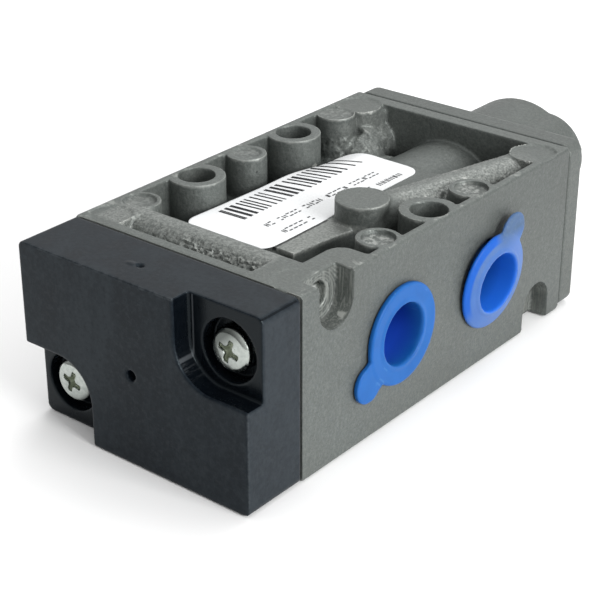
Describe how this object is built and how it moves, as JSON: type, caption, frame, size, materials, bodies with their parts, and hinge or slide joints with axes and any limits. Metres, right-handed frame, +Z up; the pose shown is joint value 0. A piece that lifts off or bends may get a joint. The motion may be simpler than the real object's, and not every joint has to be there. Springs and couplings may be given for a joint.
{
  "type": "spool directional valve",
  "caption": "Die-cast five-port spool valve body with a moulded spring cover, a round pilot cover, plugged side ports and a paper label.",
  "frame": {"origin": "bottom centre of the die-cast body, on the plane it lies on", "axes": "+Y along the spool from the spring cover to the pilot cover, +X towards the side with the plugged ports, +Z up out of the labelled face"},
  "size_m": [0.0497, 0.1107, 0.032],
  "materials": {
    "die_cast": "as cast, fine shot-blasted grain",
    "cover_plastic": "moulded, fine sheen",
    "gasket": "matte",
    "screw_zinc": "bright zinc plated",
    "spool_metal": "ground",
    "seal_rubber": "matte",
    "cage_plastic": "moulded",
    "spring_steel": "drawn wire",
    "piston_plastic": "moulded",
    "ball_steel": "polished",
    "plug_blue": "soft polyethylene, slightly translucent",
    "plug_blue_pale": "soft polyethylene, bleached flange",
    "label_paper": "matte white"
  },
  "bodies": {
    "housing": {"valve_body": "die_cast", "front_cover": "cover_plastic", "rear_cover": "die_cast", "front_gasket": "gasket", "rear_gasket": "gasket", "front_screws": "screw_zinc", "rear_screws": "screw_zinc", "stack_seals": "seal_rubber", "port_cages": "cage_plastic", "front_end_ring": "cage_plastic", "rear_end_ring": "cage_plastic", "return_spring": "spring_steel", "piston_bumper": "seal_rubber", "gallery_balls": "ball_steel", "label": "label_paper"},
    "spool": {"spool": "spool_metal", "pilot_piston": "piston_plastic", "piston_seal": "seal_rubber"},
    "front_plug": {"port_plug_front": "plug_blue"},
    "rear_plug": {"port_plug_rear": "plug_blue_pale"}
  },
  "joints": [
    {"name": "spool_shift", "type": "slide", "parent": "housing", "child": "spool", "axis": [0, -1, 0], "range_m": [0, 0.006], "stiffness_N_per_m": 2500, "springref_m": -0.006, "deforming": ["return_spring"]},
    {"name": "front_plug_pull", "type": "slide", "parent": "housing", "child": "front_plug", "axis": [1, 0, 0], "range_m": [0, 0.03]},
    {"name": "rear_plug_pull", "type": "slide", "parent": "housing", "child": "rear_plug", "axis": [0.9977, -0.0261, -0.0628], "range_m": [0, 0.03]}
  ]
}
